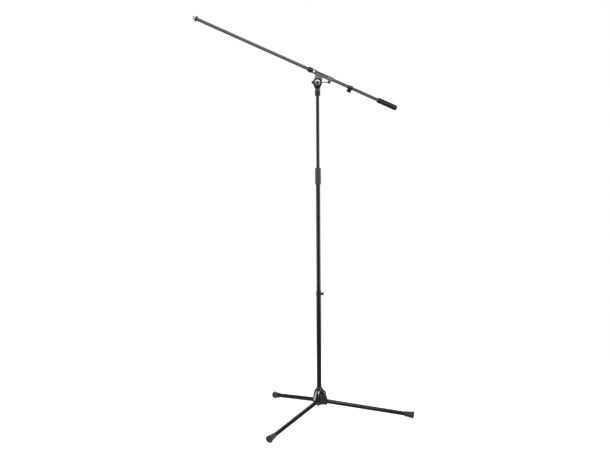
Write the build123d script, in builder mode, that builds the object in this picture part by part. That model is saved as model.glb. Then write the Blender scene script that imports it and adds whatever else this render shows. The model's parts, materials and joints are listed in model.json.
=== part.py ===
from build123d import *
import os
from math import asin, atan, cos, hypot, radians, sin

os.makedirs("parts", exist_ok=True)

# A boom microphone stand: folding tripod base, two telescoping mast tubes, an upper rod
# held by a twist clutch, a swivel head and a counterweighted boom.
# Millimetres, +Z up. The origin is on the mast's axis at floor level. One leg points
# along +X. The boom lies in the XZ plane and its free end points to -X and up.

# ---- fits ----
running_gap = 0.1  # radial gap of a tube or shaft that slides or turns in its bore
free_gap = 0.3  # gap between faces that only pass each other
fine_edge = 0.5  # chamfer of a thin part
plain_edge = 1  # chamfer of a solid part
soft_edge = 2  # rounding of a moulded part

# ---- tripod base ----
leg_azimuths = {"right": 0, "back_left": 120, "front_left": 240}
leg_length = 457  # hinge pin to the end face of the foot, along the leg
leg_radius = 11
leg_wall = 1.2
leg_pivot_radius = 34  # hinge pins to the mast's axis
leg_pivot_height = 93
leg_pin_radius = 3
knuckle_body = 14  # bare length of the knuckle beyond its pin
knuckle_plug = 30
slot_gap = 0.5  # leg to the side walls of its slot
pocket_gap = 0.9  # knuckle to its pocket in the bell

foot_length = 50
foot_end_radius = 19
foot_neck_wall = 1.6
foot_end_wall = 6
foot_flat_depth = 1.5  # depth of the flat under each foot
foot_rim = 9  # length of the rim beyond the groove
foot_groove = 1.2

bell_bottom = 77
bell_height = 91
bell_rim_radius = 43
bell_rim_height = 12  # upright part of a lobe's outer face
bell_core_radius = 20
bell_collar_wall = 3
bell_collar_height = 5
crown_inset = 0.6  # lobes' crowns below the collar's surface
lobe_side_wall = 4
lobe_fillet = 3

# ---- clamp screw of the base ----
base_clamp_azimuth = -60
base_clamp_height = 148
base_clamp_boss_radius = 8.5
base_clamp_boss_rise = 7
base_screw_radius = 4
base_knob_radius = 11.5
base_knob_length = 20
base_knob_neck = 4
base_knob_flutes = 8
base_flute_radius = 2.4
base_flute_offset = 1  # flutes' centres outside the knob's radius
base_screw_cap_radius = 5
base_screw_cap_length = 3
pad_length = 3

# ---- mast tubes ----
middle_tube_wall = 1
lower_tube_wall = 1
lower_tube_bottom = 84
lower_tube_length = 576
middle_tube_exposed = 546  # lower tube's end to the clutch
middle_tube_overlap = 102  # middle tube inside the lower tube
tube_plug_flange = 4
tube_plug_depth = 12
glide_length = 6
glide_depth = 10
glide_wall = 1.5

# ---- clamp collar between the two tubes ----
collar_wall = 1
collar_skirt = 20
collar_lip = 4
collar_boss_radius = 6
collar_boss_rise = 3.9
collar_drop = 10  # screw axis below the lower tube's end
mid_screw_radius = 2.5
mid_knob_radius = 7.2
mid_knob_length = 9
mid_knob_flutes = 10
mid_flute_radius = 1.3
mid_flute_offset = 0.6

# ---- upper rod and its twist clutch ----
rod_radius = 8
rod_wall = 1.5
rod_exposed = 358  # clutch to the lock sleeve
rod_overlap = 206  # rod below the clutch
rod_glide_length = 12
rod_glide_depth = 14
clutch_length = 84
clutch_wall = 2  # grip round the collet's seat
clutch_chamfer = 2.5
clutch_lip = 1.7
clutch_tube_depth = 20  # middle tube inside the clutch
clutch_seat_top = 34
clutch_seat_wall = 1.7
collet_top = 64
collet_wall = 1.4  # collet between the rod and the middle tube
collet_nose_wall = 1.6
collet_root = 4  # solid ring under the slots
collet_slots = 4
collet_slot = 1.2

# ---- swivel head ----
sleeve_wall = 5.5
sleeve_length = 29
sleeve_chamfer = 4
sleeve_rod_depth = 14
stud_radius = 4.76
stud_plug_depth = 22
stud_end_gap = 2  # stud's end to the bottom of its bore
lock_ring_height = 4.7
lock_ring_inset = 0.3  # ring inside the sleeve's outline
lock_ring_edge = 0.6
pan_washer_height = 2
pan_washer_inset = 1.5
spigot_radius = 8.9
spigot_end_gap = 1.3  # spigot's end to the rod
fork_base_height = 8
pivot_rise = 31.7  # fork's underside to the tilt pivot
cheek_radius = 23
cheek_thickness = 7
lug_thickness = 10
lug_radius = 20.5
lug_gap = 1  # lug and web to the floor of the fork's slot
washer_thickness = 1
washer_radius = 12
pivot_screw_radius = 4
bush_radius = 6
nut_across_flats = 13
nut_height = 6.5

# ---- T-bar screw ----
screw_flange_radius = 14
screw_flange_height = 4
screw_flange_edge = 1.2
screw_neck_radius = 7.5
bar_standoff = 36  # bar's axis in front of the boom's plane
bar_radius = 2.5
bar_long_end = 57
bar_short_end = 22
cap_radius = 7
cap_length = 14
cap_edge = 2.8

# ---- boom guide ----
boom_tilt = 24.3  # boom above the horizontal
boom_offset = 42  # boom's axis to the tilt pivot
liner_wall = 1
guide_wall = 2
guide_front = 48  # front end of the casting, from the pivot along the boom
guide_front_ring = 22
guide_rear = 66
guide_rear_ring = 29
guide_ring_wall = 2.2
web_front = 26
web_rear = 13
web_foot = 4
front_collar_length = 22
front_collar_radius = 13
guide_screw_radius = 3
guide_boss_radius = 7
guide_boss_rise = 2.6
guide_knob_radius = 9.5
guide_knob_length = 13
guide_knob_flutes = 12
guide_flute_radius = 1.5
guide_flute_offset = 0.7
guide_cap_radius = 5.5
guide_cap_length = 1

# ---- boom ----
boom_radius = 8
boom_wall = 1.25
boom_front = 680  # tip ring's outer face to the pivot's foot on the boom
boom_length = 1072  # tip ring's outer face to the tube's end in the counterweight
tip_thread_radius = 7.94
tip_thread_length = 13
tip_relief_length = 1
tip_relief_depth = 0.6
tip_ring_length = 9
tip_ring_radius = 14
tip_ring_edge = 1.5
tip_plug_depth = 30
clip_start = 149  # pivot's foot to the clip
clip_length = 22
clip_ring_wall = 2.4
clip_drop = 17  # boom's axis to the cable slot's centre
clip_slot_radius = 4.5
clip_slot_wall = 3
clip_mouth = 6
weight_radius = 13
weight_length = 106
weight_cover = 84  # tube inside the counterweight
weight_nose_fillet = 9
weight_edge = 1.5
weight_screw_radius = 2.5
weight_screw_inset = 10
weight_screw_proud = 1.5

# ---- places that follow from the sizes above ----
up = Vector(0, 0, 1)
front = Vector(0, -1, 0)
leg_slot_radius = leg_radius + slot_gap
knuckle_pocket_radius = leg_radius + pocket_gap
lobe_half_width = leg_slot_radius + lobe_side_wall
bell_top = bell_bottom + bell_height
base_clamp_boss_reach = bell_core_radius + base_clamp_boss_rise
collet_bore = rod_radius + running_gap
middle_tube_bore = collet_bore + collet_wall
middle_tube_radius = middle_tube_bore + middle_tube_wall
lower_tube_radius = middle_tube_radius + running_gap + lower_tube_wall
lower_tube_top = lower_tube_bottom + lower_tube_length
bell_collar_radius = lower_tube_radius + running_gap + bell_collar_wall
clutch_bottom = lower_tube_top + middle_tube_exposed
clutch_top = clutch_bottom + clutch_length
middle_tube_bottom = lower_tube_top - middle_tube_overlap
middle_tube_top = clutch_bottom + clutch_tube_depth
clutch_seat_radius = middle_tube_radius + clutch_seat_wall
clutch_radius = clutch_seat_radius + free_gap + clutch_wall
rod_bottom = clutch_bottom - rod_overlap
sleeve_radius = rod_radius + sleeve_wall
sleeve_bottom = clutch_top + rod_exposed
sleeve_top = sleeve_bottom + sleeve_length
rod_top = sleeve_bottom + sleeve_rod_depth
lock_ring_bottom = sleeve_top + free_gap
pan_washer_bottom = lock_ring_bottom + lock_ring_height + free_gap
fork_bottom = pan_washer_bottom + pan_washer_height
pivot = Vector(0, 0, fork_bottom + pivot_rise)

# The leg drops from its pin so that its foot's flat meets the floor.
pin_to_edge = hypot(leg_length, foot_end_radius)
leg_slope = asin((leg_pivot_height + foot_flat_depth) / pin_to_edge)
leg_slope -= atan(foot_end_radius / leg_length)

# The boom's direction, towards the counterweight, and the direction square to it.
boom_dir = Vector(cos(radians(boom_tilt)), 0, -sin(radians(boom_tilt)))
boom_up = Vector(sin(radians(boom_tilt)), 0, cos(radians(boom_tilt)))
boom_foot = pivot + boom_up * boom_offset
liner_radius = boom_radius + running_gap + liner_wall
guide_bore = liner_radius + running_gap
guide_trough_radius = guide_bore + guide_wall
guide_ring_radius = guide_bore + guide_ring_wall
guide_boss_reach = guide_ring_radius + guide_boss_rise
cheek_inner = lug_thickness / 2 + washer_thickness + running_gap
cheek_outer = cheek_inner + cheek_thickness


def radial_dir(azimuth):
    """Horizontal direction away from the mast."""
    return Vector(cos(radians(azimuth)), sin(radians(azimuth)), 0)


def radial_plane(azimuth):
    """Upright plane through the mast's axis: x is outwards, y is up."""
    outwards = radial_dir(azimuth)
    return Plane(origin=(0, 0, 0), x_dir=outwards, z_dir=outwards.cross(up))


def leg_plane(azimuth):
    """Upright plane through a leg: x runs along the leg from its pin, y is square to it."""
    outwards = radial_dir(azimuth)
    along = outwards * cos(leg_slope) - up * sin(leg_slope)
    pin = outwards * leg_pivot_radius + up * leg_pivot_height
    return Plane(origin=pin, x_dir=along, z_dir=outwards.cross(up))


def leg_section(azimuth, distance):
    """Plane square to a leg, at a distance from its pin: x is across, y is upwards."""
    side = leg_plane(azimuth)
    return Plane(origin=side.origin, x_dir=-side.z_dir, z_dir=side.x_dir).offset(distance)


def boom_section(distance):
    """Plane square to the boom, at a distance behind the pivot: x is back, y is up."""
    return Plane(origin=boom_foot, x_dir=-front, z_dir=boom_dir).offset(distance)


def facing_front(point):
    """Plane that faces the front, with x along the boom."""
    return Plane(origin=point, x_dir=boom_dir, z_dir=front)


# =============================== tripod base ===============================

with BuildPart() as lobe:
    # a bell-shaped dome, cut down to a slab as wide as a leg and its slot's walls
    with BuildSketch(Plane.XZ):
        with BuildLine():
            rim_top = (bell_rim_radius, bell_bottom + bell_rim_height)
            crown = (bell_collar_radius - crown_inset, bell_top - bell_collar_height)
            Polyline((0, crown[1]), (0, bell_bottom), (bell_rim_radius, bell_bottom), rim_top)
            TangentArc(rim_top, crown, tangent=(0, 1))
            Line(crown, (0, crown[1]))
        make_face()
    revolve(axis=Axis.Z)
    with BuildSketch(Plane.XY.offset(bell_bottom)):
        with Locations((bell_rim_radius / 2, 0)):
            Rectangle(bell_rim_radius, 2 * lobe_half_width)
    extrude(amount=bell_height, mode=Mode.INTERSECT)
    side_faces = lobe.faces().filter_by(Axis.Y).edges()
    ridge_edges = side_faces.filter_by(lambda edge: edge.center().X > bell_collar_radius)
    ridge_edges = ridge_edges.filter_by(lambda edge: edge.center().Z > bell_bottom + 1)
    fillet(ridge_edges, radius=lobe_fillet)
    # slot for the leg: round over the leg, open below it
    with BuildSketch(leg_section(0, 0)):
        with BuildLine():
            CenterArc((0, 0), leg_slot_radius, 0, 180)
            Polyline(
                (-leg_slot_radius, 0),
                (-leg_slot_radius, -leg_pivot_height),
                (leg_slot_radius, -leg_pivot_height),
                (leg_slot_radius, 0),
            )
        make_face()
    extrude(amount=bell_rim_radius, mode=Mode.SUBTRACT)
    # pocket for the knuckle's round end, open below it
    with BuildSketch(Plane.XZ):
        with BuildLine():
            pocket_centre = (leg_pivot_radius, leg_pivot_height)
            pocket_low = (leg_pivot_radius, bell_bottom - leg_radius)
            pocket_side = leg_pivot_radius + knuckle_pocket_radius
            CenterArc(pocket_centre, knuckle_pocket_radius, 0, 90)
            Polyline(
                (pocket_side, leg_pivot_height),
                (pocket_side, pocket_low[1]),
                pocket_low,
                (leg_pivot_radius, leg_pivot_height + knuckle_pocket_radius),
            )
        make_face()
    revolve(axis=Axis((leg_pivot_radius, 0, 0), (0, 0, 1)), mode=Mode.SUBTRACT)
    with BuildSketch(leg_plane(0)):
        Circle(leg_pin_radius)
    extrude(amount=lobe_half_width, both=True, mode=Mode.SUBTRACT)

base_clamp_dir = radial_dir(base_clamp_azimuth)
base_clamp_plane = Plane(origin=(0, 0, base_clamp_height), x_dir=up, z_dir=base_clamp_dir)

with BuildPart() as base_bell:
    with BuildSketch(Plane.XZ):
        with BuildLine():
            Polyline(
                (0, bell_bottom),
                (bell_core_radius, bell_bottom),
                (bell_core_radius, bell_bottom + bell_height / 2),
                (bell_collar_radius, bell_top - bell_collar_height),
                (bell_collar_radius, bell_top),
                (0, bell_top),
                close=True,
            )
        make_face()
    revolve(axis=Axis.Z)
    for azimuth in leg_azimuths.values():
        add(lobe.part.rotate(Axis.Z, azimuth))
    with BuildSketch(base_clamp_plane):
        Circle(base_clamp_boss_radius)
    extrude(amount=base_clamp_boss_reach)
    with BuildSketch(base_clamp_plane):
        Circle(base_screw_radius + running_gap)
    extrude(amount=base_clamp_boss_reach, mode=Mode.SUBTRACT)
    with BuildSketch(Plane.XY.offset(bell_bottom)):
        Circle(lower_tube_radius + running_gap)
    extrude(amount=bell_height, mode=Mode.SUBTRACT)
base_bell.part.label = "base_bell"
export_step(base_bell.part, "parts/base_bell.step")

with BuildPart() as leg_pins:
    for azimuth in leg_azimuths.values():
        with BuildSketch(leg_plane(azimuth)):
            Circle(leg_pin_radius)
        extrude(amount=lobe_half_width, both=True)
leg_pins.part.label = "leg_pins"
export_step(leg_pins.part, "parts/leg_pins.step")

for side, azimuth in leg_azimuths.items():
    leg_axis = Axis(leg_plane(azimuth).origin, leg_plane(azimuth).x_dir)
    plug_radius = leg_radius - leg_wall
    with BuildPart() as leg_knuckle:
        with BuildSketch(leg_plane(azimuth)):
            with BuildLine():
                CenterArc((0, 0), leg_radius, 90, 90)
                Polyline(
                    (0, leg_radius),
                    (knuckle_body, leg_radius),
                    (knuckle_body, plug_radius),
                    (knuckle_body + knuckle_plug, plug_radius),
                    (knuckle_body + knuckle_plug, 0),
                    (-leg_radius, 0),
                )
            make_face()
        revolve(axis=leg_axis)
        with BuildSketch(leg_plane(azimuth)):
            Circle(leg_pin_radius + running_gap)
        extrude(amount=leg_radius, both=True, mode=Mode.SUBTRACT)
    leg_knuckle.part.label = f"leg_{side}_knuckle"
    export_step(leg_knuckle.part, f"parts/leg_{side}_knuckle.step")

    with BuildPart() as leg_tube:
        with BuildSketch(leg_section(azimuth, knuckle_body)):
            Circle(leg_radius)
            Circle(leg_radius - leg_wall, mode=Mode.SUBTRACT)
        extrude(amount=leg_length - foot_end_wall - knuckle_body)
    leg_tube.part.label = f"leg_{side}_tube"
    export_step(leg_tube.part, f"parts/leg_{side}_tube.step")

    foot_start = leg_length - foot_length
    foot_neck_radius = leg_radius + foot_neck_wall
    rim_start = leg_length - foot_rim
    with BuildPart() as leg_foot:
        with BuildSketch(leg_plane(azimuth)):
            with BuildLine():
                Polyline(
                    (leg_length - foot_end_wall, 0),
                    (leg_length - foot_end_wall, leg_radius),
                    (foot_start, leg_radius),
                    (foot_start, foot_neck_radius),
                    (rim_start - foot_groove, foot_end_radius - 2 * foot_groove),
                    (rim_start - foot_groove, foot_end_radius - 3 * foot_groove),
                    (rim_start, foot_end_radius - 3 * foot_groove),
                    (rim_start, foot_end_radius - foot_groove),
                    (leg_length - foot_groove, foot_end_radius),
                    (leg_length, foot_end_radius - foot_groove),
                    (leg_length, 0),
                    close=True,
                )
            make_face()
        revolve(axis=leg_axis)
        split(bisect_by=Plane.XY, keep=Keep.TOP)
    leg_foot.part.label = f"leg_{side}_foot"
    export_step(leg_foot.part, f"parts/leg_{side}_foot.step")

# ---- clamp screw of the base ----

base_pad_start = lower_tube_radius + running_gap
base_screw_tip = base_pad_start + pad_length + free_gap
base_knob_start = base_clamp_boss_reach + free_gap
base_knob_end = base_knob_start + base_knob_neck + base_knob_length

with BuildPart() as base_clamp_pad:
    with BuildSketch(base_clamp_plane):
        Circle(base_screw_radius)
    extrude(amount=base_pad_start + pad_length)
    with BuildSketch(Plane.XY):
        Circle(base_pad_start)
    extrude(amount=bell_top, mode=Mode.SUBTRACT)
base_clamp_pad.part.label = "base_clamp_pad"
export_step(base_clamp_pad.part, "parts/base_clamp_pad.step")

with BuildPart() as base_knob_screw:
    with BuildSketch(base_clamp_plane.offset(base_screw_tip)):
        Circle(base_screw_radius)
    extrude(amount=base_knob_end - base_screw_tip)
    with BuildSketch(base_clamp_plane.offset(base_knob_end)):
        Circle(base_screw_cap_radius)
    extrude(amount=base_screw_cap_length)
    cap_face = base_knob_screw.faces().sort_by(Axis((0, 0, 0), base_clamp_dir))[-1]
    chamfer(cap_face.edges(), length=plain_edge)
base_knob_screw.part.label = "base_knob_screw"
export_step(base_knob_screw.part, "parts/base_knob_screw.step")

with BuildPart() as base_knob:
    with BuildSketch(base_clamp_plane.offset(base_knob_start)):
        Circle(base_clamp_boss_radius)
    extrude(amount=base_knob_neck)
    with BuildSketch(base_clamp_plane.offset(base_knob_start + base_knob_neck)):
        Circle(base_knob_radius)
        with PolarLocations(base_knob_radius + base_flute_offset, base_knob_flutes):
            Circle(base_flute_radius, mode=Mode.SUBTRACT)
    extrude(amount=base_knob_length)
    with BuildSketch(base_clamp_plane.offset(base_knob_start)):
        Circle(base_screw_radius)
    extrude(amount=base_knob_end, mode=Mode.SUBTRACT)
base_knob.part.label = "base_knob"
export_step(base_knob.part, "parts/base_knob.step")

# ================================== mast ==================================

collar_axis_height = lower_tube_top - collar_drop
collar_radius = lower_tube_radius + collar_wall
collar_boss_reach = collar_radius + collar_boss_rise
collar_plane = Plane(origin=(0, 0, collar_axis_height), x_dir=up, z_dir=(1, 0, 0))
mid_pad_start = middle_tube_radius + running_gap
mid_screw_tip = mid_pad_start + pad_length + free_gap
mid_knob_start = collar_boss_reach + free_gap
lower_tube_bore = lower_tube_radius - lower_tube_wall

with BuildPart() as lower_tube:
    with BuildSketch(Plane.XY.offset(lower_tube_bottom)):
        Circle(lower_tube_radius)
        Circle(lower_tube_bore, mode=Mode.SUBTRACT)
    extrude(amount=lower_tube_length)
    with BuildSketch(collar_plane):
        Circle(mid_screw_radius)
    extrude(amount=collar_boss_reach, mode=Mode.SUBTRACT)
lower_tube.part.label = "lower_tube"
export_step(lower_tube.part, "parts/lower_tube.step")

with BuildPart() as lower_tube_plug:
    with BuildSketch(Plane.XY.offset(lower_tube_bottom - tube_plug_flange)):
        Circle(lower_tube_radius)
    extrude(amount=tube_plug_flange)
    with BuildSketch(Plane.XY.offset(lower_tube_bottom)):
        Circle(lower_tube_bore)
    extrude(amount=tube_plug_depth)
    chamfer(lower_tube_plug.faces().sort_by(Axis.Z)[0].edges(), length=plain_edge)
lower_tube_plug.part.label = "lower_tube_plug"
export_step(lower_tube_plug.part, "parts/lower_tube_plug.step")

with BuildPart() as mid_clamp_collar:
    with BuildSketch(Plane.XY.offset(lower_tube_top - collar_skirt)):
        Circle(collar_radius)
    extrude(amount=collar_skirt + collar_lip)
    chamfer(mid_clamp_collar.edges().filter_by(GeomType.CIRCLE), length=fine_edge)
    with BuildSketch(collar_plane):
        Circle(collar_boss_radius)
    extrude(amount=collar_boss_reach)
    with BuildSketch(Plane.XY.offset(lower_tube_top - collar_skirt)):
        Circle(lower_tube_radius)
    extrude(amount=collar_skirt, mode=Mode.SUBTRACT)
    with BuildSketch(Plane.XY.offset(lower_tube_top)):
        Circle(middle_tube_radius + free_gap)
    extrude(amount=collar_lip, mode=Mode.SUBTRACT)
    with BuildSketch(collar_plane):
        Circle(mid_screw_radius + running_gap)
    extrude(amount=collar_boss_reach, mode=Mode.SUBTRACT)
mid_clamp_collar.part.label = "mid_clamp_collar"
export_step(mid_clamp_collar.part, "parts/mid_clamp_collar.step")

with BuildPart() as mid_clamp_pad:
    with BuildSketch(collar_plane):
        Circle(mid_screw_radius)
    extrude(amount=mid_pad_start + pad_length)
    with BuildSketch(Plane.XY.offset(collar_axis_height)):
        Circle(mid_pad_start)
    extrude(amount=collar_drop, both=True, mode=Mode.SUBTRACT)
mid_clamp_pad.part.label = "mid_clamp_pad"
export_step(mid_clamp_pad.part, "parts/mid_clamp_pad.step")

with BuildPart() as mid_knob_screw:
    with BuildSketch(collar_plane.offset(mid_screw_tip)):
        Circle(mid_screw_radius)
    extrude(amount=mid_knob_start + mid_knob_length - mid_screw_tip)
mid_knob_screw.part.label = "mid_knob_screw"
export_step(mid_knob_screw.part, "parts/mid_knob_screw.step")

with BuildPart() as mid_knob:
    with BuildSketch(collar_plane.offset(mid_knob_start)):
        Circle(mid_knob_radius)
        with PolarLocations(mid_knob_radius + mid_flute_offset, mid_knob_flutes):
            Circle(mid_flute_radius, mode=Mode.SUBTRACT)
        Circle(mid_screw_radius, mode=Mode.SUBTRACT)
    extrude(amount=mid_knob_length)
mid_knob.part.label = "mid_knob"
export_step(mid_knob.part, "parts/mid_knob.step")

with BuildPart() as middle_tube:
    with BuildSketch(Plane.XY.offset(middle_tube_bottom)):
        Circle(middle_tube_radius)
        Circle(middle_tube_bore, mode=Mode.SUBTRACT)
    extrude(amount=middle_tube_top - middle_tube_bottom)
middle_tube.part.label = "middle_tube"
export_step(middle_tube.part, "parts/middle_tube.step")

with BuildPart() as middle_tube_glide:
    with BuildSketch(Plane.XY.offset(middle_tube_bottom - glide_length)):
        Circle(middle_tube_radius)
    extrude(amount=glide_length)
    with BuildSketch(Plane.XY.offset(middle_tube_bottom)):
        Circle(middle_tube_bore)
    extrude(amount=glide_depth)
    with BuildSketch(Plane.XY.offset(middle_tube_bottom - glide_length)):
        Circle(middle_tube_bore - glide_wall)
    extrude(amount=glide_length + glide_depth, mode=Mode.SUBTRACT)
middle_tube_glide.part.label = "middle_tube_glide"
export_step(middle_tube_glide.part, "parts/middle_tube_glide.step")

# ---- twist clutch ----

seat_bottom = clutch_bottom + clutch_lip + free_gap
seat_top = clutch_bottom + clutch_seat_top
nose_top = clutch_bottom + collet_top
collet_nose_radius = collet_bore + collet_nose_wall

with BuildPart() as clutch_seat:
    with BuildSketch(Plane.XY.offset(seat_bottom)):
        Circle(clutch_seat_radius)
    extrude(amount=seat_top - seat_bottom)
    with BuildSketch(Plane.XY.offset(seat_bottom)):
        Circle(middle_tube_radius)
    extrude(amount=middle_tube_top - seat_bottom, mode=Mode.SUBTRACT)
    with BuildSketch(Plane.XY.offset(middle_tube_top)):
        Circle(middle_tube_bore)
    extrude(amount=seat_top - middle_tube_top, mode=Mode.SUBTRACT)
clutch_seat.part.label = "clutch_seat"
export_step(clutch_seat.part, "parts/clutch_seat.step")

with BuildPart() as clutch_collet:
    with BuildSketch(Plane.XZ):
        with BuildLine():
            Polyline(
                (collet_bore, middle_tube_top),
                (middle_tube_bore, middle_tube_top),
                (middle_tube_bore, seat_top),
                (clutch_seat_radius, seat_top),
                (collet_nose_radius, nose_top),
                (collet_bore, nose_top),
                close=True,
            )
        make_face()
    revolve(axis=Axis.Z)
    with BuildSketch(Plane.XY.offset(seat_top + collet_root)):
        with PolarLocations(clutch_seat_radius, collet_slots):
            Rectangle(clutch_seat_radius, collet_slot)
    extrude(amount=nose_top - seat_top, mode=Mode.SUBTRACT)
clutch_collet.part.label = "clutch_collet"
export_step(clutch_collet.part, "parts/clutch_collet.step")

with BuildPart() as clutch_grip:
    with BuildSketch(Plane.XY.offset(clutch_bottom)):
        Circle(clutch_radius)
    extrude(amount=clutch_length)
    chamfer(clutch_grip.edges().filter_by(GeomType.CIRCLE), length=clutch_chamfer)
    with BuildSketch(Plane.XZ):
        with BuildLine():
            Polyline(
                (0, clutch_bottom),
                (middle_tube_radius + free_gap, clutch_bottom),
                (middle_tube_radius + free_gap, clutch_bottom + clutch_lip),
                (clutch_seat_radius + free_gap, clutch_bottom + clutch_lip),
                (clutch_seat_radius + free_gap, seat_top + free_gap),
                (collet_nose_radius + free_gap, nose_top + free_gap),
                (rod_radius + free_gap, nose_top + free_gap),
                (rod_radius + free_gap, clutch_top),
                (0, clutch_top),
                close=True,
            )
        make_face()
    revolve(axis=Axis.Z, mode=Mode.SUBTRACT)
clutch_grip.part.label = "clutch_grip"
export_step(clutch_grip.part, "parts/clutch_grip.step")

# ---- upper rod ----

rod_bore = rod_radius - rod_wall

with BuildPart() as upper_rod:
    with BuildSketch(Plane.XY.offset(rod_bottom)):
        Circle(rod_radius)
        Circle(rod_bore, mode=Mode.SUBTRACT)
    extrude(amount=rod_top - rod_bottom)
upper_rod.part.label = "upper_rod"
export_step(upper_rod.part, "parts/upper_rod.step")

with BuildPart() as rod_glide:
    with BuildSketch(Plane.XY.offset(rod_bottom - rod_glide_length)):
        Circle(middle_tube_bore - running_gap)
    extrude(amount=rod_glide_length)
    chamfer(rod_glide.edges().filter_by(GeomType.CIRCLE), length=fine_edge)
    with BuildSketch(Plane.XY.offset(rod_bottom)):
        Circle(rod_bore)
    extrude(amount=rod_glide_depth)
rod_glide.part.label = "rod_glide"
export_step(rod_glide.part, "parts/rod_glide.step")

# =============================== swivel head ===============================

spigot_bottom = rod_top + spigot_end_gap

with BuildPart() as rod_stud:
    with BuildSketch(Plane.XY.offset(rod_top - stud_plug_depth)):
        Circle(rod_bore)
    extrude(amount=stud_plug_depth)
    with BuildSketch(Plane.XY.offset(rod_top)):
        Circle(stud_radius)
    extrude(amount=fork_bottom - rod_top)
    chamfer(rod_stud.faces().sort_by(Axis.Z)[-1].edges(), length=plain_edge)
rod_stud.part.label = "rod_stud"
export_step(rod_stud.part, "parts/rod_stud.step")

with BuildPart() as lock_sleeve:
    with BuildSketch(Plane.XY.offset(sleeve_bottom)):
        Circle(sleeve_radius)
    extrude(amount=sleeve_length)
    chamfer(lock_sleeve.faces().sort_by(Axis.Z)[0].edges(), length=sleeve_chamfer)
    with BuildSketch(Plane.XY.offset(sleeve_bottom)):
        Circle(rod_radius)
    extrude(amount=sleeve_rod_depth, mode=Mode.SUBTRACT)
    with BuildSketch(Plane.XY.offset(rod_top)):
        Circle(spigot_radius + running_gap)
    extrude(amount=sleeve_length, mode=Mode.SUBTRACT)
lock_sleeve.part.label = "lock_sleeve"
export_step(lock_sleeve.part, "parts/lock_sleeve.step")

with BuildPart() as lock_ring:
    with BuildSketch(Plane.XY.offset(lock_ring_bottom)):
        Circle(sleeve_radius - lock_ring_inset)
        Circle(spigot_radius + running_gap, mode=Mode.SUBTRACT)
    extrude(amount=lock_ring_height)
    outer_edges = lock_ring.edges().filter_by(GeomType.CIRCLE).group_by(SortBy.RADIUS)[-1]
    chamfer(outer_edges, length=lock_ring_edge)
lock_ring.part.label = "lock_ring"
export_step(lock_ring.part, "parts/lock_ring.step")

with BuildPart() as pan_washer:
    with BuildSketch(Plane.XY.offset(pan_washer_bottom)):
        Circle(sleeve_radius - pan_washer_inset)
        Circle(spigot_radius, mode=Mode.SUBTRACT)
    extrude(amount=pan_washer_height)
pan_washer.part.label = "pan_washer"
export_step(pan_washer.part, "parts/pan_washer.step")

with BuildPart() as swivel_fork:
    with BuildSketch(Plane.XZ.offset(-cheek_outer)):
        with Locations((0, pivot.Z)):
            Circle(cheek_radius)
        with BuildLine():
            Polyline(
                (-sleeve_radius, fork_bottom),
                (sleeve_radius, fork_bottom),
                (sleeve_radius, fork_bottom + fork_base_height / 2),
                (cheek_radius, pivot.Z - cheek_radius / 4),
                (-cheek_radius, pivot.Z - cheek_radius / 4),
                (-sleeve_radius, fork_bottom + fork_base_height / 2),
                close=True,
            )
        make_face()
    extrude(amount=2 * cheek_outer)
    # round the foot of the fork to the sleeve's size
    with BuildSketch(Plane.XY.offset(fork_bottom)):
        Rectangle(4 * cheek_radius, 4 * cheek_radius)
        Circle(sleeve_radius, mode=Mode.SUBTRACT)
    extrude(amount=fork_base_height / 2, mode=Mode.SUBTRACT)
    # the slot that the guide's lug and web swing in
    slot_height = 2 * cheek_radius
    with BuildSketch(Plane.XZ.offset(-cheek_inner)):
        with Locations((0, pivot.Z - lug_radius - lug_gap + slot_height / 2)):
            Rectangle(2 * cheek_radius + lug_gap, slot_height)
    extrude(amount=2 * cheek_inner, mode=Mode.SUBTRACT)
    with BuildSketch(Plane.XZ.offset(-cheek_outer)):
        with Locations((0, pivot.Z)):
            Circle(pivot_screw_radius + running_gap)
    extrude(amount=2 * cheek_outer, mode=Mode.SUBTRACT)
    with BuildSketch(Plane.XY.offset(spigot_bottom)):
        Circle(spigot_radius)
    extrude(amount=fork_bottom - spigot_bottom)
    with BuildSketch(Plane.XY.offset(spigot_bottom)):
        Circle(stud_radius + running_gap)
    extrude(amount=fork_bottom - spigot_bottom + stud_end_gap, mode=Mode.SUBTRACT)
swivel_fork.part.label = "swivel_fork"
export_step(swivel_fork.part, "parts/swivel_fork.step")

pivot_plane = facing_front(pivot)

with BuildPart() as pivot_washers:
    for inner_face in (lug_thickness / 2 + running_gap, -cheek_inner):
        with BuildSketch(pivot_plane.offset(inner_face)):
            Circle(washer_radius)
            Circle(pivot_screw_radius + running_gap, mode=Mode.SUBTRACT)
        extrude(amount=washer_thickness)
pivot_washers.part.label = "pivot_washers"
export_step(pivot_washers.part, "parts/pivot_washers.step")

with BuildPart() as pivot_nut:
    with BuildSketch(pivot_plane.offset(-cheek_outer)):
        RegularPolygon(radius=nut_across_flats / 2, side_count=6, major_radius=False)
        Circle(pivot_screw_radius + running_gap, mode=Mode.SUBTRACT)
    extrude(amount=-nut_height)
pivot_nut.part.label = "pivot_nut"
export_step(pivot_nut.part, "parts/pivot_nut.step")

# ---- T-bar screw ----

screw_face = cheek_outer + free_gap
level_plane = Plane(origin=pivot, x_dir=(1, 0, 0), z_dir=front)
bar_point = pivot + front * bar_standoff
bar_plane = Plane(origin=bar_point, x_dir=front, z_dir=(1, 0, 0))

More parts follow.
